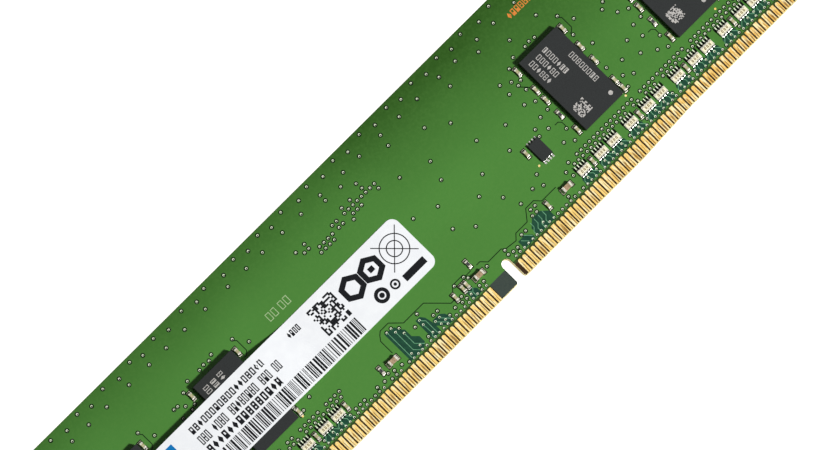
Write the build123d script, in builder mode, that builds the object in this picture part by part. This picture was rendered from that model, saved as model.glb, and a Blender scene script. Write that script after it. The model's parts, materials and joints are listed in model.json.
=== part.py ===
"""Desktop memory module: a 288-contact DDR4-size board with four x16 DRAM packages on its front.

The board lies flat with its front up. X runs along its length, Y from the contact edge towards the
top edge, and Z up out of the component side. The origin is the centre of the underside. Places on
the board are given as u, measured from the left end, and v, measured up from the contact edge.
All sizes are in millimetres.
"""

import os
from collections import namedtuple

from build123d import *

os.makedirs("parts", exist_ok=True)

# Board outline. The contact edge steps back a little towards both ends.
length = 133.35
height = 31.25
corner_radius = 0.4
edge_step = 0.5
edge_profile = [(0, edge_step), (28.85, edge_step), (39.05, 0)]
edge_profile += [(96.85, 0), (107.05, edge_step), (length, edge_step)]
bevel_height = 0.13
bevel_depth = 0.20

# Key notch in the contact edge, and latch notches in the two short sides
key_u = 72.25
notch_width = 1.5
key_depth = 3.85
key_lip = 0.5
latch_depth = 2.2
latch_v = [8.75, 15.35]
cut_margin = 1.0

# Board layers, from the underside up
copper_t = 0.035
mask_t = 0.045
prepreg_t = 0.20
board_t = 1.40
mask_inset = 0.05
mask_low_v = 2.70
plane_inset = 0.6
plane_low_v = 3.6
laminate_low = mask_t
laminate_high = board_t - mask_t
core_low = laminate_low + prepreg_t
core_high = laminate_high - prepreg_t
land_top = laminate_high + copper_t

# Edge contacts
contact_pitch = 0.85
contact_width = 0.60
contact_top = 2.50
round_drop = 0.08
left_start, left_count = 3.35, 77
right_start, right_count = 73.90, 67

# How many contacts, counted from the key, follow each pattern of ground contacts
left_thirds, left_even = 18, 25
right_thirds = 11

# Two-terminal parts: outer sizes, and how far each end terminal reaches along the part
ChipSize = namedtuple("ChipSize", "length width height band")
small_size = ChipSize(1.00, 0.50, 0.50, 0.25)
bulk_size = ChipSize(1.60, 0.80, 0.75, 0.35)
resistor_size = ChipSize(1.00, 0.50, 0.35, 0.22)
plating_t = 0.03
body_round = 0.03
overcoat_t = 0.045

# Four-element resistor arrays, with their terminals along both long sides
array_size = ChipSize(2.00, 1.00, 0.45, 0.22)
element_pitch = 0.50
array_terminal_width = 0.32
castellation_r = 0.08

# Copper lands, mask windows and solder
land_length = 0.46
land_spread = 0.10
land_margin = 0.06
window_margin = 0.08
solder_foot = 0.22
solder_toe = 0.02
solder_climb = 0.6

# DRAM packages
dram_u = [13.6, 32.3, 97.3, 116.1]
dram_v = 15.10
dram_width = 7.5
dram_height = 13.3
ball_pitch = 0.8
ball_columns = 3
ball_rows = 16
ball_bank_u = 2.4
ball_r = 0.23
ball_land_r = 0.20
standoff = 0.28
substrate_t = 0.16
cap_t = 0.70
cap_chamfer = 0.04
die_width, die_height, die_t = 4.8, 9.6, 0.24
substrate_low = land_top + standoff
cap_low = substrate_low + substrate_t
dram_top = cap_low + cap_t

# Parts beside each DRAM package: (offset along the board from its centre, v)
beside_caps = [(-4.6, 21.05), (-4.6, 17.45), (-4.6, 15.45), (-4.45, 9.45)]
beside_caps += [(4.35, 20.95), (4.35, 17.45), (4.35, 14.70), (4.35, 10.65), (4.4, 9.05)]
beside_resistor = (-4.65, 12.68)

# Terminating arrays stand in threes along the contact edge, each three sharing a capacitor
array_v = 4.80
group_count = 4
group_pitch = 9.43
group_offsets = [0, 3.43, 5.97]
group_cap_offset = 1.70
left_first_group, right_first_group = 6.01, 89.50

# Single small parts, as (u, v)
lone_caps = [(41.93, 4.90), (63.68, 4.85), (65.33, 5.00), (66.08, 5.00), (82.24, 4.85), (85.26, 12.06)]
lone_resistors = [(48.98, 4.95), (68.32, 6.95)]
bulk_caps = [(51.10, 4.75), (68.32, 4.75), (85.95, 4.75)]

# Configuration memory chip, with four leads at each end and a heat pad under it
spd_u, spd_v = 87.1, 11.15
spd_width, spd_height, spd_t = 2.0, 3.0, 0.50
spd_lift = 0.02
spd_lead_width, spd_lead_length, spd_lead_t = 0.25, 0.40, 0.13
spd_pad_width, spd_pad_height = 1.3, 1.4
spd_die_width, spd_die_height, spd_die_t = 1.0, 1.1, 0.14
spd_foot = 0.16

# Product label, stuck over the two left packages and running down onto the board
label_left, label_right = 5.7, 65.7
label_low, label_high = 10.1, 19.2
label_t = 0.10
label_corner = 1.25
label_bend = 15.0
droop_u, droop = 8.4, 0.35
ramp_top_u, ramp_foot_u = 37.7, 43.2


def xy(u, v):
    return (u - length / 2, v - height / 2)


def at(u, v, angle=0):
    """The place u, v on the board, turned by angle, as a location."""
    return Location((u - length / 2, v - height / 2, 0), angle)


def save(piece, name):
    piece.part.label = name
    export_step(piece.part, f"parts/{name}.step")


# Places of the small parts
dram_centres = [at(u, dram_v) for u in dram_u]
cap_places = [at(u + du, v, 90) for u in dram_u for du, v in beside_caps]
cap_places += [at(u, v, 90) for u, v in lone_caps]
resistor_places = [at(u + beside_resistor[0], beside_resistor[1], 90) for u in dram_u]
resistor_places += [at(u, v, 90) for u, v in lone_resistors]
bulk_places = [at(u, v) for u, v in bulk_caps]
array_places = []
for first in (left_first_group, right_first_group):
    for group in range(group_count):
        start = first + group * group_pitch
        array_places += [at(start + offset_u, array_v) for offset_u in group_offsets]
        cap_places.append(at(start + group_cap_offset, array_v, 90))
spd_place = at(spd_u, spd_v)

# The 96 ball places of one package, in its own frame: two banks of three columns
ball_banks = GridLocations(2 * ball_bank_u, 0, 2, 1)
ball_bank_grid = GridLocations(ball_pitch, ball_pitch, ball_columns, ball_rows)
ball_grid = [bank * ball for bank in ball_banks for ball in ball_bank_grid]
all_balls = [centre * ball for centre in dram_centres for ball in ball_grid]


def edge_v(u):
    """Height of the stepped contact edge at u."""
    for (u0, v0), (u1, v1) in zip(edge_profile, edge_profile[1:]):
        if u <= u1:
            return v0 + (v1 - v0) * (u - u0) / (u1 - u0)
    return edge_step


def cut_notches(grow=0):
    """Cuts the key notch and the four latch notches, all widened by grow, out of a sketch."""
    r = notch_width / 2 + grow
    key_centre_v = key_depth + grow - r
    latch_centre_u = latch_depth + grow - r
    with Locations(xy(key_u, key_centre_v)):
        Circle(r, mode=Mode.SUBTRACT)
        Rectangle(2 * r, key_depth + cut_margin, align=(Align.CENTER, Align.MAX), mode=Mode.SUBTRACT)
    for v in latch_v:
        with Locations(xy(latch_centre_u, v)):
            Circle(r, mode=Mode.SUBTRACT)
            Rectangle(latch_depth + cut_margin, 2 * r, align=(Align.MAX, Align.CENTER), mode=Mode.SUBTRACT)
        with Locations(xy(length - latch_centre_u, v)):
            Circle(r, mode=Mode.SUBTRACT)
            Rectangle(latch_depth + cut_margin, 2 * r, align=(Align.MIN, Align.CENTER), mode=Mode.SUBTRACT)


def inset_panel(inset, low_v):
    """A plain panel, inset from the board's sides and top edge, with the notches kept clear."""
    with Locations(xy(length / 2, (low_v + height - inset) / 2)):
        RectangleRounded(length - 2 * inset, height - inset - low_v, corner_radius)
    cut_notches(inset)


def chip_lands(places, size, grow=0):
    """Two lands for each two-terminal part."""
    with Locations(*places):
        with GridLocations(size.length + land_spread, 0, 2, 1):
            Rectangle(land_length + 2 * grow, size.width + land_margin + 2 * grow)


def array_lands(grow=0):
    with Locations(*array_places):
        with GridLocations(element_pitch, array_size.width + land_spread, 4, 2):
            Rectangle(array_terminal_width + 2 * grow, land_length + 2 * grow)


def spd_lands(grow=0):
    with Locations(spd_place):
        Rectangle(spd_pad_width + 2 * grow, spd_pad_height + 2 * grow)
        with GridLocations(element_pitch, spd_height - spd_lead_length + spd_foot, 4, 2):
            Rectangle(spd_lead_width + 2 * grow, spd_lead_length + spd_foot + 2 * grow)


def part_lands(grow=0):
    chip_lands(cap_places, small_size, grow)
    chip_lands(bulk_places, bulk_size, grow)
    chip_lands(resistor_places, resistor_size, grow)
    array_lands(grow)
    spd_lands(grow)


# ---------------------------------------------------------------- bare board

with BuildPart() as blank:
    with BuildSketch(Plane.XY.offset(laminate_low)) as outline:
        with BuildLine():
            Polyline(*[xy(u, v) for u, v in edge_profile], xy(length, height), xy(0, height), close=True)
        make_face()
        left_to_right = outline.vertices().sort_by(Axis.X)
        fillet(left_to_right[:2] + left_to_right[-2:], corner_radius)
        cut_notches()
        mouth = [p for p in outline.vertices() if abs(p.Y + height / 2) < 0.01]
        fillet([p for p in mouth if abs(p.X - xy(key_u, 0)[0]) < notch_width], key_lip)
    extrude(amount=laminate_high - laminate_low)
    for face_z, inward in ((laminate_high, -1), (laminate_low, 1)):
        with BuildLine() as bevel_path:
            Polyline(*[(u - length / 2, v - height / 2, face_z) for u, v in edge_profile])
        with BuildSketch(Plane(bevel_path.line @ 0, x_dir=(0, 1, 0), z_dir=(1, 0, 0))):
            with BuildLine():
                Polyline(
                    (bevel_height, 0),
                    (0, inward * bevel_depth),
                    (-cut_margin, inward * bevel_depth),
                    (-cut_margin, -inward * bevel_depth),
                    (bevel_height, -inward * bevel_depth),
                    close=True,
                )
            make_face()
        sweep(path=bevel_path.line, transition=Transition.RIGHT, mode=Mode.SUBTRACT)

with BuildPart() as core:
    add(blank.part)
    split(bisect_by=Plane.XY.offset(core_high), keep=Keep.BOTTOM)
    split(bisect_by=Plane.XY.offset(core_low), keep=Keep.TOP)
save(core, "pcb_core")

with BuildPart() as prepreg_front:
    add(blank.part)
    split(bisect_by=Plane.XY.offset(core_high), keep=Keep.TOP)
    with BuildSketch(Plane.XY.offset(core_high)):
        inset_panel(plane_inset, plane_low_v)
    extrude(amount=copper_t, mode=Mode.SUBTRACT)
save(prepreg_front, "pcb_prepreg_front")

with BuildPart() as prepreg_back:
    add(blank.part)
    split(bisect_by=Plane.XY.offset(core_low), keep=Keep.BOTTOM)
    with BuildSketch(Plane.XY.offset(core_low)):
        inset_panel(plane_inset, plane_low_v)
    extrude(amount=-copper_t, mode=Mode.SUBTRACT)
save(prepreg_back, "pcb_prepreg_back")

with BuildPart() as ground_plane:
    with BuildSketch(Plane.XY.offset(core_high)):
        inset_panel(plane_inset, plane_low_v)
    extrude(amount=copper_t)
save(ground_plane, "inner_ground_plane")

with BuildPart() as power_plane:
    with BuildSketch(Plane.XY.offset(core_low)):
        inset_panel(plane_inset, plane_low_v)
    extrude(amount=-copper_t)
save(power_plane, "inner_power_plane")

with BuildPart() as mask_front:
    with BuildSketch(Plane.XY.offset(laminate_high)) as front_windows:
        inset_panel(mask_inset, mask_low_v)
        with BuildSketch(mode=Mode.SUBTRACT):
            part_lands(window_margin)
            with Locations(*all_balls):
                Circle(ball_land_r + window_margin)
    extrude(amount=mask_t)
save(mask_front, "solder_mask_front")

with BuildPart() as mask_back:
    with BuildSketch():
        inset_panel(mask_inset, mask_low_v)
    extrude(amount=mask_t)
save(mask_back, "solder_mask_back")


# ---------------------------------------------------------------- edge contacts

def left_is_ground(from_key):
    """Ground contacts have square tops. Near the key every third is one, and further out every second."""
    if from_key < left_thirds:
        return from_key == 0 or from_key % 3 == 1
    return from_key % 2 == (0 if from_key < left_even else 1)


def right_is_ground(from_key):
    return from_key % 3 == 2 if from_key < right_thirds else from_key % 2 == 0


def contact(u, square):
    """One gold finger, from just above the bevel up to a square or a round top."""
    low = edge_v(u) + bevel_height
    r = contact_width / 2
    shoulder = contact_top if square else contact_top - round_drop - r
    with Locations(xy(u, low)):
        Rectangle(contact_width, shoulder - low, align=(Align.CENTER, Align.MIN))
    if not square:
        with Locations(xy(u, shoulder)):
            Circle(r)


def contact_group(name, face_z, start, count, is_ground, key_on_right):
    with BuildPart() as contacts:
        with BuildSketch(Plane.XY.offset(face_z)):
            for index in range(count):
                from_key = count - 1 - index if key_on_right else index
                contact(start + index * contact_pitch, is_ground(from_key))
        extrude(amount=copper_t)
    save(contacts, name)


for side, low_z in (("front", laminate_high), ("back", laminate_low - copper_t)):
    contact_group(f"edge_contacts_{side}_left", low_z, left_start, left_count, left_is_ground, True)
    contact_group(f"edge_contacts_{side}_right", low_z, right_start, right_count, right_is_ground, False)


# ---------------------------------------------------------------- copper lands

with BuildPart() as lands:
    with BuildSketch(Plane.XY.offset(laminate_high)):
        part_lands()
    extrude(amount=copper_t)
save(lands, "component_lands")

with BuildPart() as ball_lands:
    with BuildSketch(Plane.XY.offset(laminate_high)):
        with Locations(*all_balls):
            Circle(ball_land_r)
    extrude(amount=copper_t)
save(ball_lands, "ball_lands")


# ---------------------------------------------------------------- DRAM packages

with BuildPart() as ball:
    Sphere(ball_r)
    split(bisect_by=Plane.XY.offset(standoff / 2), keep=Keep.BOTTOM)
    split(bisect_by=Plane.XY.offset(-standoff / 2), keep=Keep.TOP)


def dram_package(name, centre):
    """One package: solder balls, substrate, the silicon die on it, and the moulded cap over both."""
    with BuildPart() as balls:
        with Locations(centre * Location((0, 0, land_top + standoff / 2))):
            with Locations(*ball_grid):
                add(ball.part)
    save(balls, f"{name}_solder_balls")

    with BuildPart() as substrate:
        with Locations(centre * Location((0, 0, substrate_low))):
            Box(dram_width, dram_height, substrate_t, align=(Align.CENTER, Align.CENTER, Align.MIN))
    save(substrate, f"{name}_substrate")

    with BuildPart() as die:
        with Locations(centre * Location((0, 0, cap_low))):
            Box(die_width, die_height, die_t, align=(Align.CENTER, Align.CENTER, Align.MIN))
    save(die, f"{name}_die")

    standing = (Align.CENTER, Align.CENTER, Align.MIN)
    with BuildPart() as cap:
        with Locations(centre * Location((0, 0, cap_low))):
            Box(dram_width, dram_height, cap_t, align=standing)
        chamfer(cap.faces().sort_by(Axis.Z)[-1].edges(), cap_chamfer)
        with Locations(centre * Location((0, 0, cap_low))):
            Box(die_width, die_height, die_t, align=standing, mode=Mode.SUBTRACT)
    save(cap, f"{name}_moulded_cap")


for number, centre in enumerate(dram_centres, 1):
    dram_package(f"dram_{number}", centre)


# ---------------------------------------------------------------- two-terminal parts

def raised(places):
    """The same places, lifted onto the lands."""
    return [place * Location((0, 0, land_top)) for place in places]


def place_copies(name, prototype, places):
    with BuildPart() as copies:
        with Locations(*raised(places)):
            add(prototype.part)
    save(copies, name)


def chip_body(size, body_height):
    """The ceramic block inside the terminals, standing on Z = 0 with its length along X."""
    with BuildPart() as body:
        with Locations((0, 0, size.height / 2)):
            Box(size.length - 2 * plating_t, size.width - 2 * plating_t, body_height)
        fillet(body.edges(), body_round)
    return body


def chip_terminals(size, body):
    """The two metal end caps, fitted around the ceramic block."""
    with BuildPart() as terminals:
        with Locations((0, 0, size.height / 2)):
            with GridLocations(size.length - size.band, 0, 2, 1):
                Box(size.band, size.width, size.height)
        outer_ends = terminals.faces().filter_by(Axis.X).group_by(Axis.X)
        fillet(outer_ends[0].edges() + outer_ends[-1].edges(), body_round)
        add(body.part, mode=Mode.SUBTRACT)
    return terminals


small_body = chip_body(small_size, small_size.height - 2 * plating_t)
place_copies("small_capacitor_ceramics", small_body, cap_places)
place_copies("small_capacitor_terminals", chip_terminals(small_size, small_body), cap_places)

bulk_body = chip_body(bulk_size, bulk_size.height - 2 * plating_t)
place_copies("bulk_capacitor_ceramics", bulk_body, bulk_places)
place_copies("bulk_capacitor_terminals", chip_terminals(bulk_size, bulk_body), bulk_places)

resistor_body = chip_body(resistor_size, resistor_size.height - 2 * plating_t)
place_copies("resistor_ceramics", resistor_body, resistor_places)
place_copies("resistor_terminals", chip_terminals(resistor_size, resistor_body), resistor_places)

with BuildPart() as resistor_overcoat:
    with Locations((0, 0, resistor_size.height - plating_t)):
        Box(
            resistor_size.length - 2 * resistor_size.band,
            resistor_size.width - 4 * plating_t,
            overcoat_t,
            align=(Align.CENTER, Align.CENTER, Align.MIN),
        )
    chamfer(resistor_overcoat.faces().sort_by(Axis.Z)[-1].edges(), plating_t / 2)
place_copies("resistor_overcoats", resistor_overcoat, resistor_places)


# ---------------------------------------------------------------- resistor arrays

with BuildPart() as array_ceramic:
    with BuildSketch(Plane.XY.offset(plating_t)):
        Rectangle(array_size.length, array_size.width - 2 * plating_t)
        with GridLocations(element_pitch, array_size.width - 2 * plating_t, 3, 2):
            Circle(castellation_r, mode=Mode.SUBTRACT)
    extrude(amount=array_size.height - 2 * plating_t)
place_copies("array_ceramics", array_ceramic, array_places)

with BuildPart() as array_terminals:
    with Locations((0, 0, array_size.height / 2)):
        with GridLocations(element_pitch, array_size.width - array_size.band, 4, 2):
            Box(array_terminal_width, array_size.band, array_size.height)
    add(array_ceramic.part, mode=Mode.SUBTRACT)
place_copies("array_terminals", array_terminals, array_places)

with BuildPart() as array_overcoat:
    with Locations((0, 0, array_size.height - plating_t)):
        Box(
            array_size.length - 4 * plating_t,
            array_size.width - 2 * array_size.band,
            overcoat_t,
            align=(Align.CENTER, Align.CENTER, Align.MIN),
        )
    chamfer(array_overcoat.faces().sort_by(Axis.Z)[-1].edges(), plating_t / 2)
place_copies("array_overcoats", array_overcoat, array_places)


# ---------------------------------------------------------------- configuration memory chip

with BuildPart() as spd_terminals:
    with Locations(spd_place * Location((0, 0, land_top))):
        Box(spd_pad_width, spd_pad_height, spd_lead_t, align=(Align.CENTER, Align.CENTER, Align.MIN))
        with GridLocations(element_pitch, spd_height - spd_lead_length, 4, 2):
            Box(spd_lead_width, spd_lead_length, spd_lead_t, align=(Align.CENTER, Align.CENTER, Align.MIN))
save(spd_terminals, "spd_memory_terminals")

with BuildPart() as spd_die_part:
    with Locations(spd_place * Location((0, 0, land_top + spd_lead_t))):
        Box(spd_die_width, spd_die_height, spd_die_t, align=(Align.CENTER, Align.CENTER, Align.MIN))
save(spd_die_part, "spd_memory_die")

with BuildPart() as spd_body:
    with Locations(spd_place * Location((0, 0, land_top + spd_lift))):
        Box(spd_width, spd_height, spd_t, align=(Align.CENTER, Align.CENTER, Align.MIN))
    chamfer(spd_body.faces().sort_by(Axis.Z)[-1].edges(), cap_chamfer)
    add(spd_terminals.part, mode=Mode.SUBTRACT)
    add(spd_die_part.part, mode=Mode.SUBTRACT)
save(spd_body, "spd_memory_body")


# ---------------------------------------------------------------- solder joints

def solder_fillet(width, climb, foot=solder_foot):
    """A joint's hollow-faced wedge. It stands on Z = 0 with its back on X = 0 and its foot towards +X."""
    with BuildPart() as wedge:
        with BuildSketch(Plane.XZ):
            with BuildLine():
                bottom = Polyline((solder_toe, climb), (0, climb), (0, 0), (foot, 0), (foot, solder_toe))
                TangentArc(bottom @ 0, bottom @ 1, tangent=(0, -1))
            make_face()
        extrude(amount=width / 2, both=True)
    return wedge


def both_ends(size):
    """Where the fillets of a two-terminal part stand, each facing outwards."""
    return [Location((size.length / 2, 0, 0)), Location((-size.length / 2, 0, 0), 180)]


element_row = [element_pitch * (n - 1.5) for n in range(4)]


def both_sides(half_width):
    """Where the fillets of four terminals a side stand, each facing outwards."""
    upper = [Location((x, half_width, 0), 90) for x in element_row]
    lower = [Location((x, -half_width, 0), -90) for x in element_row]
    return upper + lower



def end_fillet(size, climb):
    return solder_fillet(0.9 * size.width, climb)


solder_sets = [
    (cap_places, both_ends(small_size), end_fillet(small_size, solder_climb * small_size.height)),
    (bulk_places, both_ends(bulk_size), end_fillet(bulk_size, solder_climb * bulk_size.height)),
    (resistor_places, both_ends(resistor_size), end_fillet(resistor_size, solder_foot)),
    (array_places, both_sides(array_size.width / 2), solder_fillet(0.9 * array_terminal_width, solder_foot)),
    ([spd_place], both_sides(spd_height / 2), solder_fillet(spd_lead_width, spd_lead_t, spd_foot)),
]
with BuildPart() as solder:
    for places, ends, wedge in solder_sets:
        with Locations(*[place * end for place in raised(places) for end in ends]):
            add(wedge.part)
save(solder, "solder_joints")


# ---------------------------------------------------------------- product label

with BuildPart() as label:
    with BuildSketch(Plane.XZ.offset(height / 2 - label_high)):
        with BuildLine():
            FilletPolyline(
                (label_left - length / 2, dram_top - droop),
                (droop_u - length / 2, dram_top),
                (ramp_top_u - length / 2, dram_top),
                (ramp_foot_u - length / 2, board_t),
                (label_right - length / 2, board_t),
                radius=label_bend,
            )
            offset(amount=label_t, side=Side.LEFT)
        make_face()
    extrude(amount=label_high - label_low)
    with BuildSketch():
        with Locations(xy((label_left + label_right) / 2, (label_low + label_high) / 2)):
            RectangleRounded(label_right - label_left, label_high - label_low, label_corner)
    extrude(amount=dram_top + cut_margin, mode=Mode.INTERSECT)
save(label, "product_label")
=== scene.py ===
"""Looks of the memory module: materials for its CAD parts, and the fine detail of its board and label.

Places on the board are given as u, measured from the left end, and v, measured up from the contact
edge, and heights as z, measured up from the underside. All three are in millimetres. Blender works in
metres, in the CAD frame.
"""

import json
import math
import random

import bpy
from mathutils import Matrix, Vector
from mathutils.bvhtree import BVHTree


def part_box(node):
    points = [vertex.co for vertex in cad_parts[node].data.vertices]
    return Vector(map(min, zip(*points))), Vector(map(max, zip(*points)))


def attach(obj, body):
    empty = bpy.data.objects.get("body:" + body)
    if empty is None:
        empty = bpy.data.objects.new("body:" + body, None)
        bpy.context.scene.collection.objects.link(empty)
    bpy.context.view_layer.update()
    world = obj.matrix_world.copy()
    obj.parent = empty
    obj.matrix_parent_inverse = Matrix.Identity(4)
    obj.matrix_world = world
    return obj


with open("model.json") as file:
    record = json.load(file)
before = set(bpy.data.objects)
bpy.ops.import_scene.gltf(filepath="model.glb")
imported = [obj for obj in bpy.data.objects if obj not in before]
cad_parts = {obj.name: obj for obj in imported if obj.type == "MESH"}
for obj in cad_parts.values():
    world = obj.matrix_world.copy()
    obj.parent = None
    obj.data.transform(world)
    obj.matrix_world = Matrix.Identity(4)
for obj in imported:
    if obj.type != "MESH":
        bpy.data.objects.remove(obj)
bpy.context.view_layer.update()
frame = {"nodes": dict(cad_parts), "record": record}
nodes = frame["nodes"]
MM = 0.001

# ---------------------------------------------------------------- the board, read from the CAD

board_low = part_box("pcb_core")[0]
mask_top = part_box("solder_mask_front")[1].z / MM
laminate_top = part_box("pcb_prepreg_front")[1].z / MM
laminate_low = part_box("pcb_prepreg_back")[0].z / MM
dram_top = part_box("dram_1_moulded_cap")[1].z / MM
array_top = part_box("array_overcoats")[1].z / MM


def uv(point):
    """The u and v of a point given in metres in the CAD frame."""
    return (point.x - board_low.x) / MM, (point.y - board_low.y) / MM


def spread(node):
    """The lowest u, lowest v, highest u and highest v of a CAD node."""
    low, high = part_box(node)
    return *uv(low), *uv(high)


def middle(node):
    """The u and v half way across a CAD node."""
    low_u, low_v, high_u, high_v = spread(node)
    return (low_u + high_u) / 2, (low_v + high_v) / 2


def at(u, v, z):
    """A place on the board, in metres in the CAD frame."""
    return u * MM + board_low.x, v * MM + board_low.y, z * MM


def x_at(u):
    """The CAD frame's x at u, in millimetres."""
    return at(u, 0, 0)[0] / MM


def y_at(v):
    """The CAD frame's y at v, in millimetres."""
    return at(0, v, 0)[1] / MM


def tree_of(*names):
    """A search tree of the faces of some CAD nodes."""
    points, faces = [], []
    for name in names:
        mesh = nodes[name].data
        first = len(points)
        points += [vertex.co for vertex in mesh.vertices]
        faces += [[first + index for index in face.vertices] for face in mesh.polygons]
    return BVHTree.FromPolygons(points, faces)


label_tree = tree_of("product_label")
part_tree = tree_of(*nodes)
_, label_low, _, label_high = spread("product_label")
mask_low = spread("solder_mask_front")[1]
drams = [middle(f"dram_{n}_moulded_cap") for n in range(1, 5)]

# Edge contacts, counted from the left end, and the bare strip between the last left one and the key notch
contact_pitch = 0.85
contact_width = 0.60
left_count, right_count = 77, 67
left_start = spread("edge_contacts_front_left")[0] + contact_width / 2
right_start = spread("edge_contacts_front_right")[0] + contact_width / 2
contact_u = [left_start + n * contact_pitch for n in range(left_count)]
contact_u += [right_start + n * contact_pitch for n in range(right_count)]
slate_left = spread("edge_contacts_front_left")[2] + 0.15
slate_right = spread("edge_contacts_front_right")[0] - 1.15

# Resistor arrays stand in threes, with four such groups on each side of the key notch
group_count = 4
group_pitch = 9.43
group_offsets = (0, 3.43, 5.97)
array_half_length = 1.0
first_groups = (spread("array_ceramics")[0] + array_half_length, 89.50)
group_u = [first + n * group_pitch for first in first_groups for n in range(group_count)]
array_u = [start + offset for start in group_u for offset in group_offsets]
array_v = middle("array_ceramics")[1]
element_pitch = 0.5
element_steps = [n - 1.5 for n in range(4)]


def height_at(tree, u, v):
    """Height of the highest face of a tree at u, v, or None where there is none."""
    x, y, _ = at(u, v, 0)
    hit = tree.ray_cast(Vector((x, y, 1)), Vector((0, 0, -1)))[0]
    return hit.z / MM if hit else None


def flat(z):
    """A surface that lies level at height z."""
    return lambda _u, _v: z


def on_label(u, v):
    """The label's surface, which bends down from the packages to the board."""
    return height_at(label_tree, u, v)


on_mask = flat(mask_top)
on_back = flat(0.0)
on_dram = flat(dram_top)
on_array = flat(array_top)


def is_clear(u, v, reach):
    """Whether bare solder mask is all there is within reach of u, v."""
    around = [(u, v), (u - reach, v), (u + reach, v), (u, v - reach), (u, v + reach)]
    tops = [height_at(part_tree, *place) for place in around]
    tolerance = 0.01
    return all(top is not None and abs(top - mask_top) < tolerance for top in tops)


# ---------------------------------------------------------------- shader helpers


class Shader:
    """A Principled material, with short names for the few nodes that these looks use."""

    def __init__(self, name, base, roughness, metallic=0.0, specular=0.5, coat=0.0):
        self.material = bpy.data.materials.new(name)
        self.material.use_nodes = True
        self.tree = self.material.node_tree
        self.bsdf = next(node for node in self.tree.nodes if node.type == "BSDF_PRINCIPLED")
        self.bsdf.inputs["Base Color"].default_value = (*base, 1)
        self.bsdf.inputs["Roughness"].default_value = roughness
        self.bsdf.inputs["Metallic"].default_value = metallic
        self.bsdf.inputs["Specular IOR Level"].default_value = specular
        self.bsdf.inputs["Coat Weight"].default_value = coat
        self.bsdf.inputs["Coat Roughness"].default_value = 0.2
        self.material.diffuse_color = (*base, 1)

    def add(self, kind, **settings):
        node = self.tree.nodes.new(kind)
        for name, value in settings.items():
            setattr(node, name, value)
        return node

    def put(self, value, socket):
        """Links an output to a socket, or sets a plain value on it."""
        if isinstance(value, bpy.types.NodeSocket):
            self.tree.links.new(value, socket)
        elif isinstance(value, tuple) and len(socket.default_value) == 4:
            socket.default_value = (*value, 1)
        else:
            socket.default_value = value

    def place(self):
        """The point being shaded, in millimetres in the CAD frame."""
        scale = self.add("ShaderNodeVectorMath", operation="SCALE")
        self.put(self.add("ShaderNodeTexCoord").outputs["Object"], scale.inputs[0])
        scale.inputs["Scale"].default_value = 1 / MM
        return scale.outputs[0]

    def axes(self, vector):
        """The x, y and z of a vector."""
        split = self.add("ShaderNodeSeparateXYZ")
        self.put(vector, split.inputs[0])
        return split.outputs

    def stretched(self, vector, scale):
        node = self.add("ShaderNodeVectorMath", operation="MULTIPLY")
        self.put(vector, node.inputs[0])
        node.inputs[1].default_value = scale
        return node.outputs[0]

    def noise(self, vector, scale, detail):
        node = self.add("ShaderNodeTexNoise")
        self.put(vector, node.inputs["Vector"])
        node.inputs["Scale"].default_value = scale
        node.inputs["Detail"].default_value = detail
        return node.outputs["Fac"]

    def math(self, operation, *values):
        node = self.add("ShaderNodeMath", operation=operation)
        for value, socket in zip(values, node.inputs):
            self.put(value, socket)
        return node.outputs[0]

    def span(self, value, low, high, to_low=0.0, to_high=1.0):
        """value, taken smoothly from the range low..high to the range to_low..to_high."""
        node = self.add("ShaderNodeMapRange", interpolation_type="SMOOTHSTEP")
        for number, socket in zip((value, low, high, to_low, to_high), node.inputs):
            self.put(number, socket)
        return node.outputs[0]

    def mix(self, factor, a, b):
        """Colour a where factor is 0, and b where it is 1."""
        node = self.add("ShaderNodeMix", data_type="RGBA")
        self.put(factor, node.inputs["Factor"])
        self.put(a, node.inputs[6])
        self.put(b, node.inputs[7])
        return node.outputs[2]

    def colour(self, value):
        self.put(value, self.bsdf.inputs["Base Color"])

    def roughness(self, value):
        self.put(value, self.bsdf.inputs["Roughness"])

    def bump(self, value, distance):
        """Raises the surface by value times a distance in millimetres."""
        node = self.add("ShaderNodeBump")
        node.inputs["Strength"].default_value = 0.6
        node.inputs["Distance"].default_value = distance * MM
        self.put(value, node.inputs["Height"])
        self.put(node.outputs[0], self.bsdf.inputs["Normal"])


def linear(*levels):
    """A colour given as display levels from 0 to 255, as the linear colour that shaders take."""
    shares = [level / 255 for level in levels]
    return tuple(s / 12.92 if s <= 0.04045 else ((s + 0.055) / 1.055) ** 2.4 for s in shares)


# ---------------------------------------------------------------- materials


def mottled(name, base, other, roughness, scale, metallic=0.0, bump=0.0, coat=0.0, specular=0.5):
    """A plain finish with fine two-tone grain. scale is the grain's fineness, in waves per millimetre."""
    s = Shader(name, base, roughness, metallic, specular, coat)
    grain = s.noise(s.place(), scale, 3.0)
    s.colour(s.mix(s.span(grain, 0.3, 0.7), base, other))
    s.roughness(s.span(grain, 0.2, 0.8, roughness * 0.85, roughness * 1.2))
    if bump:
        s.bump(grain, bump)
    return s.material


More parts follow.
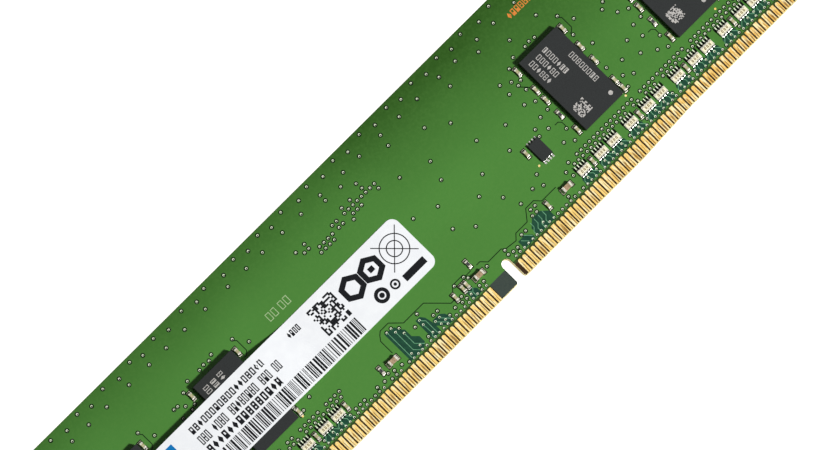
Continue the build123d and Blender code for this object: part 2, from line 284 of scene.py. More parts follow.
def mask_look(name, base, painted_shade_tone, warm):
    """Solder mask. Painted shade takes it from the base colour to the darker one towards the top edge, the
    middle and the right end.

    x and y are measured from the middle of the board. warm is the tone of its fine speckle.
    """
    s = Shader(name, base, 0.36, specular=0.1)
    place = s.place()
    x, y, _ = s.axes(place)
    broad = s.noise(place, 0.05, 1.0)
    fine = s.noise(place, 2.4, 3.0)
    # Painted shade, standing in for light that falls off across the board; a broad random tone is added to
    # it.
    painted_top_shade = s.span(y, 6.0, 20.0, 0.0, 0.80)
    painted_middle_shade = s.math("MULTIPLY", s.span(x, -20.0, 15.0, 0.0, 0.42), s.span(y, -2.0, 8.0))
    painted_right_shade = s.span(x, 10.0, 60.0, 0.0, 0.25)
    painted_shade = s.math("ADD", s.math("ADD", painted_top_shade, painted_middle_shade), painted_right_shade)
    tone = s.mix(s.math("ADD", painted_shade, s.span(broad, 0.3, 0.7, -0.08, 0.08)), base, painted_shade_tone)
    s.colour(s.mix(s.span(fine, 0.35, 0.8, 0.0, 0.15), tone, warm))
    s.roughness(s.span(fine, 0.2, 0.8, 0.32, 0.44))
    s.bump(s.noise(place, 1.3, 3.0), 0.004)
    return s.material


def laminate_look():
    """Cream where the laminate is milled. Its face is brown between the contacts and slate by the key.

    A narrow band of it just below the edge of the solder mask is green.
    """
    cream = linear(214, 204, 158)
    s = Shader("laminate", cream, 0.6, specular=0.15)
    place = s.place()
    x, y, z = s.axes(place)
    weave = s.noise(s.stretched(place, (2.0, 2.0, 9.0)), 1.0, 3.0)
    milled = s.mix(s.span(weave, 0.35, 0.7), cream, linear(168, 156, 106))
    past_left = s.math("GREATER_THAN", x, x_at(slate_left))
    before_right = s.math("LESS_THAN", x, x_at(slate_right))
    by_key = s.math("MULTIPLY", past_left, before_right)
    grain = s.noise(place, 3.0, 3.0)
    brown = s.mix(grain, linear(44, 28, 6), linear(64, 42, 12))
    slate = s.mix(grain, linear(46, 58, 54), linear(66, 76, 68))
    by_mask = s.span(y, y_at(2.2), y_at(2.4))
    face = s.mix(by_key, s.mix(by_mask, brown, linear(46, 70, 26)), slate)
    skin = 0.004
    upper = s.math("GREATER_THAN", z, laminate_top - skin)
    lower = s.math("LESS_THAN", z, laminate_low + skin)
    s.colour(s.mix(s.math("MAXIMUM", upper, lower), milled, face))
    s.bump(weave, 0.01)
    return s.material


def contact_look():
    """Hard gold, with pale patches of painted highlight, and fine marks along each contact where it has been
    pushed into a socket.

    steps counts contacts from the start of their row, and phase is how far the right row is from the left.
    """
    s = Shader("contact_gold", linear(244, 208, 122), 0.3, metallic=0.8)
    place = s.place()
    x, y, _ = s.axes(place)
    left_x, right_x = x_at(left_start), x_at(right_start)
    wipe_start_y, wipe_full_y = -13.5, -14.3
    phase = s.math("MULTIPLY", s.math("GREATER_THAN", x, right_x - contact_pitch), right_x - left_x)
    steps = s.math("DIVIDE", s.math("SUBTRACT", s.math("SUBTRACT", x, left_x), phase), contact_pitch)
    across = s.math("SUBTRACT", s.math("FRACT", s.math("ADD", steps, 0.5)), 0.5)
    wander = s.noise(s.stretched(place, (2.4, 0.15, 1.0)), 1.0, 2.0)
    streaks_and_sheen = s.noise(s.stretched(place, (4.0, 0.9, 1.0)), 1.0, 2.0)
    gold = s.mix(s.span(x, 6.0, 56.0), linear(244, 208, 122), linear(240, 194, 104))
    # Pale patches of painted highlight.
    gold = s.mix(s.span(streaks_and_sheen, 0.45, 0.62), gold, linear(254, 238, 182))
    off_line = s.math("ABSOLUTE", s.math("SUBTRACT", across, s.span(wander, 0.3, 0.7, -0.14, 0.14)))
    wiped = s.math("MULTIPLY", s.span(off_line, 0.13, 0.05), s.span(y, wipe_start_y, wipe_full_y, 0.0, 0.9))
    s.colour(s.mix(wiped, gold, linear(140, 94, 30)))
    s.roughness(s.span(streaks_and_sheen, 0.3, 0.8, 0.22, 0.40))
    s.bump(streaks_and_sheen, 0.008)
    return s.material


# The mask's green, and the darker green that its painted shade reaches.
green, painted_shade_green = linear(75, 131, 55), linear(43, 85, 22)
looks = {
    "laminate": laminate_look(),
    "copper": mottled("copper", linear(190, 110, 70), linear(160, 90, 56), 0.35, 1.0, metallic=1.0),
    "solder_mask": mask_look("solder_mask", green, painted_shade_green, linear(94, 142, 66)),
    "contact_gold": contact_look(),
    "land_gold": mottled(
        "land_gold", linear(200, 196, 168), linear(160, 158, 130), 0.3, 3.0, metallic=0.6
    ),
    "tin": mottled("tin", linear(240, 236, 220), linear(176, 172, 156), 0.3, 5.0, metallic=0.8, bump=0.01),
    "solder": mottled(
        "solder", linear(226, 226, 218), linear(140, 140, 132), 0.24, 4.0, metallic=0.9, bump=0.01
    ),
    "silicon": mottled("silicon", linear(110, 110, 118), linear(96, 96, 104), 0.2, 1.0, metallic=0.6),
    "mould_compound": mottled(
        "mould_compound", linear(36, 38, 38), linear(46, 49, 49), 0.6, 9.0, bump=0.012, specular=0.2
    ),
    "package_substrate": mottled("package_substrate", linear(40, 56, 36), linear(52, 68, 44), 0.5, 4.0),
    "small_capacitor_ceramic": mottled(
        "small_capacitor_ceramic", linear(190, 184, 142), linear(158, 152, 112), 0.42, 5.0, bump=0.005
    ),
    "bulk_capacitor_ceramic": mottled(
        "bulk_capacitor_ceramic", linear(184, 156, 122), linear(142, 116, 86), 0.42, 5.0, bump=0.005
    ),
    "alumina": mottled("alumina", linear(238, 236, 222), linear(214, 210, 194), 0.5, 6.0),
    "black_glaze": mottled("black_glaze", linear(18, 18, 20), linear(32, 32, 34), 0.25, 4.0, coat=0.4),
    "cream_glaze": mottled(
        "cream_glaze", linear(248, 243, 212), linear(234, 225, 184), 0.35, 5.0, coat=0.3
    ),
    "label_film": mottled(
        "label_film", linear(241, 243, 245), linear(236, 238, 241), 0.45, 0.6, bump=0.002
    ),
    "label_ink": mottled("label_ink", linear(14, 16, 20), linear(26, 28, 32), 0.5, 6.0, specular=0.1),
    "label_blue_ink": mottled(
        "label_blue_ink", linear(0, 110, 178), linear(14, 122, 188), 0.5, 6.0, specular=0.1
    ),
    "laser_mark": mottled(
        "laser_mark", linear(206, 202, 196), linear(150, 148, 146), 0.7, 8.0, specular=0.2
    ),
    "legend_ink": mottled(
        "legend_ink", linear(184, 206, 160), linear(150, 180, 126), 0.6, 6.0, specular=0.2
    ),
    "copper_legend": mottled(
        "copper_legend", linear(244, 148, 52), linear(196, 110, 44), 0.4, 5.0, metallic=0.4
    ),
    "mask_over_laminate": mottled(
        "mask_over_laminate", linear(14, 62, 44), linear(24, 74, 52), 0.36, 1.4, specular=0.15
    ),
    "mask_over_trace": mottled(
        "mask_over_trace", linear(112, 172, 132), linear(88, 150, 108), 0.34, 3.0, specular=0.3
    ),
    # Near-white: partly the lighter copper ring round a via, partly painted highlight. The arrays' short
    # traces wear it too.
    "via_rim": mottled("via_rim", linear(250, 255, 232), linear(214, 234, 190), 0.3, 5.0),
}

# Three looks that share a slot with one of those above
moat = mask_look("mask_in_moat", linear(10, 36, 10), linear(6, 26, 5), linear(18, 44, 16))
# Near-black painted shade, in the holes of the vias and between the arrays' upper pads.
painted_shade_black = mottled("black_painted_shade", linear(3, 10, 3), linear(7, 18, 7), 0.5, 5.0, specular=0.05)
array_mark = mottled("array_mark", linear(92, 74, 26), linear(128, 104, 46), 0.5, 6.0, specular=0.2)

slot_of_node = {entry["node"]: entry["material_slot"] for entry in frame["record"]["subparts"]}
for node_name, node in nodes.items():
    for slot in node.material_slots:
        slot.material = looks[slot_of_node[node_name]]

# ---------------------------------------------------------------- thin raised detail


class Relief:
    """Gathers thin closed solids that stand on one surface into a single piece.

    They rise above the surface by rise and reach into it by sink. side is -1 on the board's back.
    """

    def __init__(self, surface, rise, sink=0.01, side=1):
        self.surface = surface
        self.side = side
        self.rise = rise
        self.sink = sink
        self.points = []
        self.faces = []

    def point(self, u, v, lift):
        self.points.append(at(u, v, self.surface(u, v) + self.side * lift))
        return len(self.points) - 1

    def plate(self, outline):
        """A flat plate with an outline of (u, v) points, listed anticlockwise."""
        top = [self.point(u, v, self.rise) for u, v in outline]
        base = [self.point(u, v, -self.sink) for u, v in outline]
        self.faces += [top, base[::-1]]
        for n in range(len(outline)):
            m = (n + 1) % len(outline)
            self.faces.append([base[n], base[m], top[m], top[n]])

    def strip(self, pairs, closed=False):
        """A band through pairs of (u, v) points, its right side first."""
        rings = []
        for right, left in pairs:
            base = [self.point(*right, -self.sink), self.point(*left, -self.sink)]
            rings.append([*base, self.point(*left, self.rise), self.point(*right, self.rise)])
        following = rings[1:] + rings[:1] if closed else rings[1:]
        for here, there in zip(rings, following):
            for n in range(4):
                m = (n + 1) % 4
                self.faces.append([here[n], here[m], there[m], there[n]])
        if not closed:
            self.faces += [rings[0][::-1], rings[-1]]

    def stroke(self, path, width, closed=False):
        """A line of even width along (u, v) points, with mitred corners."""
        path = [Vector(point) for point in path]
        count = len(path)
        pairs = []
        for n, point in enumerate(path):
            before = path[n - 1] if n or closed else None
            after = path[(n + 1) % count] if n < count - 1 or closed else None
            ways = []
            if before is not None:
                ways.append((point - before).normalized())
            if after is not None:
                ways.append((after - point).normalized())
            way = (ways[0] + ways[-1]).normalized()
            reach = width / 2 / max(0.3, way.dot(ways[0]))
            side = Vector((way.y, -way.x)) * reach
            pairs.append((tuple(point + side), tuple(point - side)))
        self.strip(pairs, closed)

    def bar(self, low_u, low_v, high_u, high_v):
        """A rectangle, in steps along u so that it can follow a bend."""
        longest_step = 1.5
        count = max(1, math.ceil((high_u - low_u) / longest_step))
        stops = [low_u + (high_u - low_u) * n / count for n in range(count + 1)]
        self.strip([((u, low_v), (u, high_v)) for u in stops])

    def disc(self, u, v, radius, sides=20):
        turns = [2 * math.pi * n / sides for n in range(sides)]
        self.plate([(u + radius * math.cos(t), v + radius * math.sin(t)) for t in turns])

    def ring(self, u, v, radius, width, sides=24, turn=0.0):
        turns = [2 * math.pi * n / sides + turn for n in range(sides)]
        path = [(u + radius * math.cos(t), v + radius * math.sin(t)) for t in turns]
        self.stroke(path, width, closed=True)

    def bead(self, u, v, profile, sides=14):
        """A ring turned from a closed profile of (radius, height) points."""
        rings = []
        for n in range(sides):
            turn = 2 * math.pi * n / sides
            across = [(u + r * math.cos(turn), v + r * math.sin(turn), lift) for r, lift in profile]
            rings.append([self.point(*place) for place in across])
        for here, there in zip(rings, rings[1:] + rings[:1]):
            for n in range(len(profile)):
                m = (n + 1) % len(profile)
                self.faces.append([here[n], there[n], there[m], here[m]])

    def finish(self, name, slot, material=None, smooth=False):
        """Makes the piece. It wears its slot's own look unless another material is given."""
        mesh = bpy.data.meshes.new(name)
        mesh.from_pydata(self.points, [], self.faces)
        if self.side < 0:
            mesh.flip_normals()
        mesh.materials.append(material or looks[slot])
        if smooth:
            mesh.polygons.foreach_set("use_smooth", [True] * len(mesh.polygons))
        piece = bpy.data.objects.new(name, mesh)
        bpy.context.scene.collection.objects.link(piece)
        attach(piece, "root")


# ---------------------------------------------------------------- vias

# The closed outline of a via's rim, as (radius, height). Its near-white is partly copper under the mask,
# partly painted highlight.
# The near-black hole in it is painted shade, set off towards lower v, away from the key light, to leave a
# crescent of highlight.
rim_profile = [(0.18, -0.01), (0.17, 0.014), (0.145, 0.024), (0.105, 0.018), (0.07, 0.004), (0.07, -0.01)]
hole_radius = 0.10
hole_shift_from_light = 0.06
clearance_radius = 0.345
via_reach = 0.26
via_gap = 0.62
array_reach = 2.2


def near_arrays(u):
    return any(abs(u - centre) < array_reach for centre in array_u)


def contact_vias():
    """A via above almost every contact, and a looser second row."""
    draw = random.Random(4)
    places = []
    for n, u in enumerate(contact_u):
        places.append((u + 0.08, 3.03 + draw.uniform(-0.04, 0.04)))
        if near_arrays(u) and n % 2:
            places.append((u - 0.10, 3.66))
        elif draw.random() < 0.3:
            places.append((u + 0.25, 3.69))
    return places


def array_vias():
    """Two staggered rows above the arrays, with a few gaps."""
    draw = random.Random(5)
    share_kept = 0.93
    places = []
    for u in contact_u:
        if near_arrays(u):
            rows = ((u - 0.1, 6.32), (u + 0.3, 7.08))
            places += [(a + draw.uniform(-0.05, 0.05), v) for a, v in rows if draw.random() < share_kept]
    return places


def dram_vias():
    """The vias around each package, as offsets along the board from its centre, with their v."""
    left = [(-7.68, 21.45), (-5.05, 22.18), (-3.51, 22.94), (-1.2, 22.84), (-0.28, 22.98), (0.67, 22.84)]
    left += [(-6.19, 20.65), (-5.05, 19.95), (-7.64, 19.63), (-5.83, 19.63), (-5.45, 18.48), (-7.19, 17.13)]
    left += [(-5.72, 16.4), (-5.33, 14.38), (-6.83, 14.3), (-8.61, 13.6), (-7.16, 12.41), (-5.38, 10.64)]
    left += [(-7.07, 9.5), (-5.73, 8.62), (-4.0, 8.55)]
    right = [(5.13, 22.7), (6.55, 20.82), (4.84, 21.7), (4.84, 19.26), (4.87, 17.96), (5.94, 16.53)]
    right += [(4.9, 15.1), (4.94, 14.41), (4.8, 12.71), (7.2, 11.94), (4.9, 11.2), (5.67, 10.32)]
    right += [(6.98, 9.46), (5.06, 8.69)]
    return [(u + offset, v) for u, _ in drams for offset, v in left + right]


def open_board_vias():
    """Single vias on the open parts of the board."""
    fans = [(53.36, 8.15), (54.20, 8.15), (54.30, 7.36), (55.03, 7.39), (55.06, 6.44), (56.76, 5.93)]
    fans += [(58.25, 7.04), (57.86, 6.17), (57.81, 5.38), (59.75, 5.30), (60.59, 5.33), (59.35, 4.47)]
    fans += [(60.16, 4.51), (62.70, 3.90), (63.96, 3.71), (64.44, 4.38), (64.77, 6.12), (66.59, 6.09)]
    fans += [(66.98, 5.57), (70.02, 4.85), (73.42, 4.66), (73.34, 3.90), (76.66, 4.54), (77.46, 4.54)]
    fans += [(79.65, 5.33), (80.50, 5.33), (80.09, 6.12), (80.94, 6.12), (48.29, 3.56), (49.43, 4.02)]
    wide = [(79.73, 7.67), (72.94, 9.89), (78.60, 10.05), (82.4, 7.99), (84.0, 14.05), (88.4, 12.5)]
    wide += [(84.29, 9.02), (83.86, 7.28), (106.97, 13.38), (107.04, 10.8), (109.0, 12.3), (109.08, 9.44)]
    wide += [(109.2, 14.3), (110.78, 10.64), (110.47, 8.7), (87.85, 5.3), (51.68, 3.54)]
    return fans + wide


def top_vias():
    """Pairs along the top edge, and the clusters and single vias below them."""
    draw = random.Random(11)
    edge = [(1.8 + 2.55 * n + draw.uniform(-0.4, 0.4), 29.85 + 0.62 * (n % 2)) for n in range(52)]
    edge += [(3.3 + 3.85 * n + draw.uniform(-0.5, 0.5), 28.3) for n in range(34)]
    bus_pitch = 0.85
    bus = [(61.2 + bus_pitch * n, 24.12) for n in range(8)]
    bus += [(55.38 + bus_pitch * n, 23.25) for n in range(4)]
    bus += [(54.98 + bus_pitch * n, 22.5) for n in range(4)]
    bus += [(62.1 + 0.82 * n, 23.25) for n in range(3)]
    bus += [(58.76, 24.12), (59.62, 24.12), (59.23, 23.25), (60.05, 23.25), (53.26, 24.12), (54.1, 24.12)]
    bus += [(52.4, 25.0), (54.1, 25.0), (61.45, 24.9), (63.07, 24.9), (65.48, 24.9), (65.34, 25.9)]
    bus += [(61.53, 22.6), (67.13, 23.25)]
    lone = [(66.9, 24.6), (70.3, 22.2), (72.4, 26.5), (75.0, 20.8), (77.8, 24.7), (80.9, 22.6), (84.6, 26.3)]
    lone += [(63.5, 27.1), (60.6, 27.25), (39.4, 20.75), (33.8, 23.25), (37.85, 22.65), (25.3, 21.4)]
    lone += [(67.5, 16.8), (71.2, 15.6), (74.2, 17.9), (78.9, 14.4), (81.7, 18.3), (76.3, 12.5)]
    lone += [(70.4, 11.9), (86.2, 17.0), (105.8, 25.1), (90.9, 26.9), (95.2, 25.0), (100.4, 24.9)]
    lone += [(110.9, 25.5), (107.6, 18.9), (108.6, 22.0)]
    return edge + bus + lone


def spaced(places):
    """The places that stand clear of every part and of each other."""
    kept = []
    for u, v in places:
        if is_clear(u, v, via_reach) and all(math.hypot(u - a, v - b) > via_gap for a, b in kept):
            kept.append((u, v))
    return kept


def clearance_at(v):
    """The radius of the dark gap round a via, which is less beside the lower edge of the mask."""
    return min(clearance_radius, v - mask_low - 0.02)


def make_vias():
    places = spaced(open_board_vias() + dram_vias() + contact_vias() + array_vias() + top_vias())
    # The rims carry painted highlight, and the hollows are painted shade.
    clearances = Relief(on_mask, 0.003)
    highlit_rims = Relief(on_mask, 0.0)
    painted_hole_shades = Relief(on_mask, 0.0265)
    back_clearances = Relief(on_back, 0.002, side=-1)
    back_highlit_rims = Relief(on_back, 0.003, side=-1)
    for u, v in places:
        clearances.disc(u, v, clearance_at(v), sides=16)
        highlit_rims.bead(u, v, rim_profile)
        painted_hole_shades.disc(u, v - hole_shift_from_light, hole_radius, sides=10)
        back_clearances.disc(u, v, clearance_at(v), sides=16)
        back_highlit_rims.ring(u, v, radius=0.14, width=0.11, sides=16)
    clearances.finish("via_clearances", "solder_mask", moat)
    highlit_rims.finish("via_rims_painted_highlight", "via_rim", smooth=True)
    painted_hole_shades.finish("via_painted_hole_shades", "via_rim", painted_shade_black)
    back_clearances.finish("via_clearances_back", "solder_mask", moat)
    back_highlit_rims.finish("via_rims_back_painted_highlight", "via_rim")


# ---------------------------------------------------------------- traces and gaps in the copper

trace_width = 0.085
moat_width = 0.13


def fan_zones():
    """Outlines of the places where signals leave in fans, with no flood copper round them."""
    wide_fan = [(52.95, 2.95), (55.6, 2.95), (56.3, 3.6), (56.3, 4.6), (55.5, 5.4), (55.5, 6.7)]
    wide_fan += [(54.85, 7.35), (54.7, 7.95), (52.95, 8.25)]
    zones = [wide_fan]
    zones.append([(57.35, 2.95), (59.0, 2.95), (59.0, 4.6), (58.7, 5.9), (58.2, 6.5), (57.4, 6.5)])
    zones.append([(58.95, 4.0), (60.3, 2.85), (61.5, 2.85), (61.1, 4.3), (60.5, 4.85), (59.1, 4.85)])
    zones.append([(65.3, 2.85), (66.9, 2.85), (66.9, 3.7), (66.3, 4.3), (65.3, 4.3)])
    zones.append([(78.3, 2.85), (81.9, 2.85), (81.9, 4.2), (80.9, 5.1), (79.3, 5.1), (78.3, 4.2)])
    zones.append([(75.6, 2.85), (77.8, 2.85), (77.8, 3.5), (77.0, 4.2), (75.6, 4.2)])
    reach, top_reach = 1.25, 1.0
    for u in array_u:
        low_side = [(u - reach, 2.95), (u + reach, 2.95), (u + reach, 3.9)]
        zones.append(low_side + [(u + top_reach, 4.25), (u - top_reach, 4.25), (u - reach, 3.9)])
    return zones


def fan_routes():
    """The traces in those places, from their vias down to the contacts."""
    routes = [[(53.40, 8.0), (53.40, 3.2)], [(54.30, 7.2), (54.30, 3.9), (55.2, 3.0)]]
    routes += [[(55.06, 6.3), (55.06, 4.4), (56.1, 3.36)], [(57.86, 6.1), (58.46, 5.5), (58.46, 3.2)]]
    routes += [[(57.81, 5.3), (57.9, 3.75), (57.65, 3.4), (57.65, 3.0)]]
    routes += [[(59.35, 4.4), (60.6, 3.15)], [(60.16, 4.4), (61.3, 3.2)]]
    routes += [[(65.6, 4.2), (66.05, 3.7), (66.05, 2.95)], [(66.5, 4.2), (66.05, 3.7)]]
    for n in range(4):
        start, foot = 78.7 + 0.8 * n, 78.2 + 0.8 * n
        routes.append([(start, 4.9), (start, 4.1), (foot, 3.6), (foot, 3.0)])
    routes += [[(76.0, 4.0), (76.8, 3.2)], [(76.8, 4.3), (77.7, 3.4)]]
    for u in array_u:
        for step in element_steps:
            start = u + element_pitch * step
            contact = min(contact_u, key=lambda c: abs(c - start - 0.25 * step))
            jog = contact + 0.08 - start
            bend_v = 3.95
            foot = (start + jog, bend_v - abs(jog) - 0.01)
            routes.append([(start, 4.2), (start, bend_v), foot, (start + jog, 3.15)])
    return routes


def make_fans():
    """The fans of signals, where bare laminate shows dark under the mask."""
    zones = Relief(on_mask, 0.004)
    for outline in fan_zones():
        zones.plate(outline)
    zones.finish("bare_laminate_zones", "mask_over_laminate")
    traces = Relief(on_mask, 0.012)
    for route in fan_routes():
        traces.stroke(route, trace_width)
    traces.finish("signal_traces", "mask_over_trace")


def moat_paths():
    """The thin gaps that part one copper area from the next."""
    west = [(51.9, 5.6), (51.9, 7.9), (52.39, 8.54), (52.88, 8.97), (54.49, 8.97), (56.03, 7.48)]
    west += [(59.99, 7.48), (62.74, 4.74), (63.7, 4.74)]
    middle_part = [(63.96, 5.61), (64.69, 6.37), (66.63, 6.37), (67.03, 6.01), (67.9, 6.01)]
    east = [(69.1, 6.01), (69.78, 6.01), (70.59, 5.17), (73.18, 5.17), (73.58, 4.74), (75.52, 4.51)]
    east += [(76.25, 5.27), (78.52, 5.27), (79.73, 6.75), (81.30, 6.75), (82.1, 5.9), (84.9, 5.9)]
    paths = [west, middle_part, east]
    for u, _ in drams:
        right_side = [(u + 5.1, 22.45), (u + 5.45, 22.1), (u + 5.45, 20.2)]
        right_side += [(u + 4.95, 19.7), (u + 4.6, 19.7)]
        left_high = [(u - 5.9, 19.4), (u - 5.1, 18.6), (u - 4.9, 18.3)]
        left_low = [(u - 6.2, 12.1), (u - 5.6, 12.1), (u - 5.2, 11.7), (u - 5.2, 10.7)]
        paths += [right_side, left_high, left_low]
    for u in array_u:
        for step in element_steps:
            start = u + element_pitch * step
            lean = 0.22 * step
            bend = (start + lean, 5.75 + abs(lean))
            paths.append([(start, 5.5), (start, 5.75), bend, (start + lean, 6.2)])
    return paths


def make_moats():
    moats = Relief(on_mask, 0.0035)
    for path in moat_paths():
        moats.stroke(path, moat_width)
    moats.finish("copper_gaps", "solder_mask", moat)


def box_outline(low_u, low_v, high_u, high_v, inset):
    """The corners of a rectangle, drawn in by inset, anticlockwise."""
    corners = [(low_u + inset, low_v + inset), (high_u - inset, low_v + inset)]
    return corners + [(high_u - inset, high_v - inset), (low_u + inset, high_v - inset)]


def land_outlines():
    """The spread of each copper land of the small parts, from the upper face of its box."""
    mesh = nodes["component_lands"].data
    outlines = set()
    for face in mesh.polygons:
        if face.normal.z > 0.9:
            u, v = zip(*[uv(mesh.vertices[index].co) for index in face.vertices])
            outlines.add(tuple(round(side, 3) for side in (min(u), min(v), max(u), max(v))))
    return sorted(outlines)


def make_pad_gaps_and_shade():
    """The dark gap in the flood copper round each land, which also stands in as painted shade round each
    small part.
    """
    gaps = Relief(on_mask, 0.005)
    for outline in land_outlines():
        gaps.stroke(box_outline(*outline, inset=-0.07), width=0.11, closed=True)
    gaps.finish("pad_gaps_and_shade", "solder_mask", moat)


def make_array_gap_shadows():
    """Painted shadow as near-black bars between an array's upper pads, with a short trace leaving each pad.
    """
    gaps = Relief(on_mask, 0.030)
    # The traces wear the via rims' near-white, which is partly painted highlight.
    leads = Relief(on_mask, 0.034)
    gap_shadow_half, lead_half = 0.16, 0.07
    low, high = array_v + 0.52, array_v + 1.12
    for u in array_u:
        for n in range(5):
            centre = u + element_pitch * (n - 2)
            gaps.bar(centre - gap_shadow_half, low, centre + gap_shadow_half, high)
        for step in element_steps:
            centre = u + element_pitch * step
            leads.bar(centre - lead_half, low, centre + lead_half, high + 0.08)
    gaps.finish("array_gap_shadows", "solder_mask", painted_shade_black)
    leads.finish("array_leads", "via_rim")


def make_memory_chip_joints():
    """The solder that shows past the leads of the configuration memory chip."""
    joints = Relief(on_mask, 0.05)
    low_u, low_v, high_u, high_v = spread("spd_memory_body")
    centre = (low_u + high_u) / 2
    lead_pitch = 0.5
    for n in range(4):
        u = centre + lead_pitch * (n - 1.5)
        joints.bar(u - 0.14, low_v - 0.58, u + 0.14, low_v - 0.22)
        joints.bar(u - 0.10, high_v + 0.20, u + 0.10, high_v + 0.42)
    joints.finish("memory_chip_joints", "solder")


# ---------------------------------------------------------------- generic marks

# The kinds of mark: an empty box, a box with a dot, a box half filled, and a diamond
mark_kinds = 4
EMPTY, DOTTED, HALF_FILLED, DIAMOND = range(mark_kinds)


def mark(relief, u, v, wide, tall, kind, pen):
    """One generic mark, pen being the width of its lines. It is no letter."""
    low_u, high_u = u - wide / 2, u + wide / 2
    low_v, high_v = v - tall / 2, v + tall / 2
    if kind == DIAMOND:
        relief.plate([(low_u, v), (u, low_v), (high_u, v), (u, high_v)])
        return
    relief.stroke(box_outline(low_u, low_v, high_u, high_v, pen / 2), pen, closed=True)
    if kind == DOTTED:
        dot_half = pen * 0.6
        relief.bar(u - dot_half, v - dot_half, u + dot_half, v + dot_half)
    elif kind == HALF_FILLED:
        relief.bar(low_u + pen, low_v + pen, high_u - pen, v)


def row_of_marks(relief, draw, start, end, low_v, high_v, count, pen, gaps=()):
    """Marks side by side from start to end, except where a number in gaps leaves a space."""
    pitch = (end - start) / count
    wide = 0.76 * pitch
    for n in range(count):
        if n not in gaps:
            u = start + (n + 0.5) * pitch
            mark(relief, u, (low_v + high_v) / 2, wide, high_v - low_v, draw.randrange(mark_kinds), pen)


def column_of_marks(relief, draw, u, top_v, low_v, allowed):
    """Marks one below the other, where allowed(v) says yes."""
    wide, pitch, pen = 0.90, 0.68, 0.10
    count = round((top_v - low_v) / pitch)
    for n in range(count):
        v = top_v - (n + 0.5) * pitch
        if allowed(v):
            mark(relief, u, v, wide, 0.70 * pitch, draw.randrange(mark_kinds), pen)


def code_block(relief, draw, low_u, low_v, high_u, high_v, cells, allowed):
    """A square of random cells. It holds no message and has none of the borders of a real code."""
    step_u, step_v = (high_u - low_u) / cells, (high_v - low_v) / cells
    share_filled, cell_fill = 0.55, 0.99
    for row in range(cells):
        for column in range(cells):
            u, v = low_u + column * step_u, low_v + row * step_v
            if draw.random() < share_filled and allowed(v):
                relief.bar(u, v, u + cell_fill * step_u, v + cell_fill * step_v)


def everywhere(_v):
    return True


def clear_of_label(number):
    """A test of whether a v lies clear of the label on a package, of which it covers the first two."""
    margin = 0.4
    covered = number < 2
    return lambda v: not (covered and label_low - margin < v < label_high + margin)


def random_bars(relief, draw, start, end, low_v, high_v):
    """Upright bars of random width, which hold no message."""
    u = start
    while u < end:
        wide = draw.choice((0.11, 0.11, 0.22, 0.33))
        relief.bar(u, low_v, u + wide, high_v)
        u += wide + draw.choice((0.11, 0.11, 0.22, 0.30))


def target(relief, u, v):
    """Two thin rings and a cross of two slanting lines, which reach past the rings."""
    relief.ring(u, v, radius=2.15, width=0.16, sides=32)
    relief.ring(u, v, radius=1.15, width=0.16, sides=24)
    relief.stroke([(u - 2.4, v - 2.4), (u + 2.4, v + 2.4)], 0.14)
    relief.stroke([(u - 2.4, v + 2.4), (u + 2.4, v - 2.4)], 0.14)


def make_label_print():
    draw = random.Random(7)
    ink = Relief(on_label, 0.004, sink=0.02)
    left = 23.75
    row_of_marks(ink, draw, left, 38.0, low_v=16.96, high_v=18.09, count=18, pen=0.19)
    row_of_marks(ink, draw, left, 39.66, low_v=14.95, high_v=16.39, count=24, pen=0.16, gaps=(3, 8, 17, 21))
    row_of_marks(ink, draw, left, 38.05, low_v=13.25, high_v=14.57, count=15, pen=0.26)
    row_of_marks(ink, draw, 43.1, 45.4, low_v=16.96, high_v=17.96, count=4, pen=0.16)
    code_block(ink, draw, 47.3, 13.44, 51.9, 18.03, cells=16, allowed=everywhere)
    random_bars(ink, draw, 9.2, 51.7, low_v=10.45, high_v=12.88)
    for u in (54.5, 58.2):
        ink.ring(u, 15.95, radius=1.62, width=0.82, sides=6, turn=math.pi / 6)
    ink.bar(57.75, 15.55, 58.65, 16.35)
    target(ink, 62.6, 15.7)
    ink.ring(56.66, 12.31, radius=0.87, width=0.54)
    ink.disc(56.66, 12.31, radius=0.40)
    ink.ring(59.1, 12.12, radius=0.62, width=0.28, sides=20)
    ink.disc(59.1, 12.12, radius=0.25)
    ink.bar(60.57, 11.18, 64.6, 12.25)
    ink.finish("label_print", "label_ink")
    blue = Relief(on_label, 0.004, sink=0.02)
    blue.bar(9.5, 17.0, 20.7, 18.3)
    blue.finish("label_blue_bar", "label_blue_ink")


def make_dram_marks():
    """Four columns of marks, a code and a dot on each package, as offsets from its centre."""
    draw = random.Random(3)
    marks = Relief(on_dram, 0.004)
    columns = [(-2.49, 5.65, 1.61), (-1.14, 5.6, 1.19), (0.22, 5.7, 1.05), (2.42, 2.65, -2.81)]
    dot_v = -5.33
    for number, (u, v) in enumerate(drams):
        allowed = clear_of_label(number)
        for offset, top, low in columns:
            column_of_marks(marks, draw, u + offset, v + top, v + low, allowed)
        code_block(marks, draw, u - 3.0, v - 5.08, u - 0.85, v - 2.95, cells=12, allowed=allowed)
        if allowed(v + dot_v):
            marks.disc(u + 2.45, v + dot_v, radius=0.34)
    marks.finish("dram_marks", "laser_mark")


def make_board_marks():
    legend = Relief(on_mask, 0.010)
    for u in (43.35, 44.35, 45.75, 46.75):
        mark(legend, u, 21.25, 0.72, 1.25, EMPTY, pen=0.10)
    legend.finish("board_legend", "legend_ink")
    etched = Relief(on_mask, 0.004)
    row_of_marks(etched, random.Random(9), 97.3, 104.9, low_v=26.95, high_v=27.95, count=10, pen=0.13)
    etched.finish("etched_marks", "copper_legend")
    dots = Relief(on_mask, 0.006)
    for u, v in ((85.4, 9.62), (101.2, 8.03), (119.04, 7.78), (36.7, 8.2), (17.5, 7.9)):
        dots.disc(u, v, radius=0.17)
    dots.finish("test_points", "contact_gold")


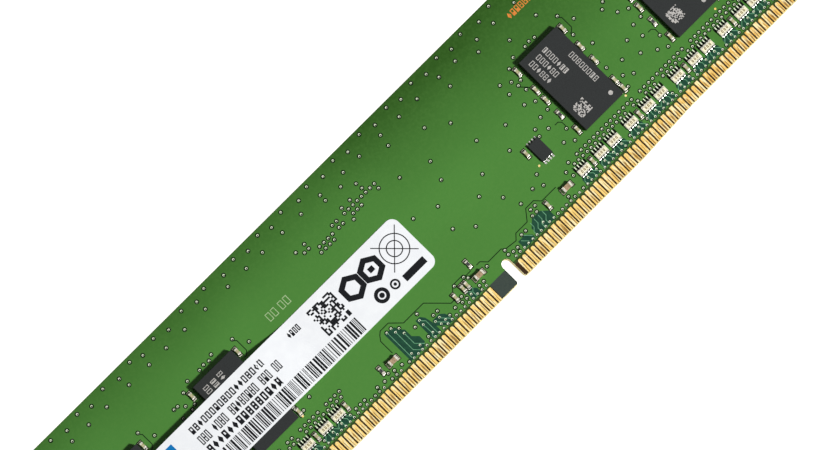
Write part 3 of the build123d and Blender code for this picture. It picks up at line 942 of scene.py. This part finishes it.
def make_array_marks():
    """Three boxes on top of each resistor array, where its value would be."""
    values = Relief(on_array, 0.003)
    mark_pitch = 0.46
    for u in array_u:
        for n in range(3):
            mark(values, u + mark_pitch * (n - 1), array_v, 0.26, 0.38, EMPTY, pen=0.09)
    values.finish("array_marks", "cream_glaze", array_mark)


make_vias()
make_fans()
make_moats()
make_pad_gaps_and_shade()
make_array_gap_shadows()
make_memory_chip_joints()
make_label_print()
make_dram_marks()
make_board_marks()
make_array_marks()

# ---------------------------------------------------------------- floor, lights and camera


def area_light(name, way, distance, size, power):
    """A square lamp that looks at the board's middle from some way off, in metres."""
    light = bpy.data.lights.new(name, "AREA")
    light.shape = "SQUARE"
    light.size = size
    light.energy = power
    lamp = bpy.data.objects.new(name, light)
    lamp.location = Vector(way).normalized() * distance
    lamp.rotation_euler = (-lamp.location).to_track_quat("-Z", "Y").to_euler()
    bpy.context.scene.collection.objects.link(lamp)


def make_floor():
    half = 3.0
    mesh = bpy.data.meshes.new("floor")
    corners = [(-half, -half, 0), (half, -half, 0), (half, half, 0), (-half, half, 0)]
    mesh.from_pydata(corners, [], [(0, 1, 2, 3)])
    floor = bpy.data.objects.new("floor", mesh)
    bpy.context.scene.collection.objects.link(floor)
    s = Shader("floor", (0.9, 0.9, 0.9), 0.9)
    s.bsdf.inputs["Emission Color"].default_value = (1, 1, 1, 1)
    s.bsdf.inputs["Emission Strength"].default_value = 1.0
    mesh.materials.append(s.material)


def make_light():
    world = bpy.data.worlds.new("studio")
    bpy.context.scene.world = world
    world.use_nodes = True
    backdrop = world.node_tree.nodes["Background"]
    backdrop.inputs["Color"].default_value = (1, 1, 1, 1)
    backdrop.inputs["Strength"].default_value = 0.05
    area_light("key_light", (0.31, -0.55, 0.78), distance=0.9, size=0.10, power=9.7)
    area_light("softbox", (0.18, 0.05, 0.98), distance=1.0, size=0.45, power=0.76)


def make_camera():
    azimuth, elevation, roll = math.radians(-75), math.radians(79), math.radians(29.85)
    distance = 1.5
    view_width = 0.1149
    aim = Vector(at(66.79, 16.26, mask_top))
    away = Vector((math.sin(azimuth), -math.cos(azimuth), 0)) * math.cos(elevation)
    away.z = math.sin(elevation)
    data = bpy.data.cameras.new("camera")
    data.sensor_width = 36
    data.lens = data.sensor_width * distance / view_width
    data.clip_start = 0.01
    data.clip_end = 20
    camera = bpy.data.objects.new("camera", data)
    facing = (-away).to_track_quat("-Z", "Y").to_matrix().to_4x4()
    camera.matrix_world = Matrix.Translation(aim + away * distance) @ facing @ Matrix.Rotation(roll, 4, "Z")
    bpy.context.scene.collection.objects.link(camera)
    bpy.context.scene.camera = camera
    bpy.context.scene.view_settings.view_transform = "Standard"


make_floor()
make_light()
make_camera()
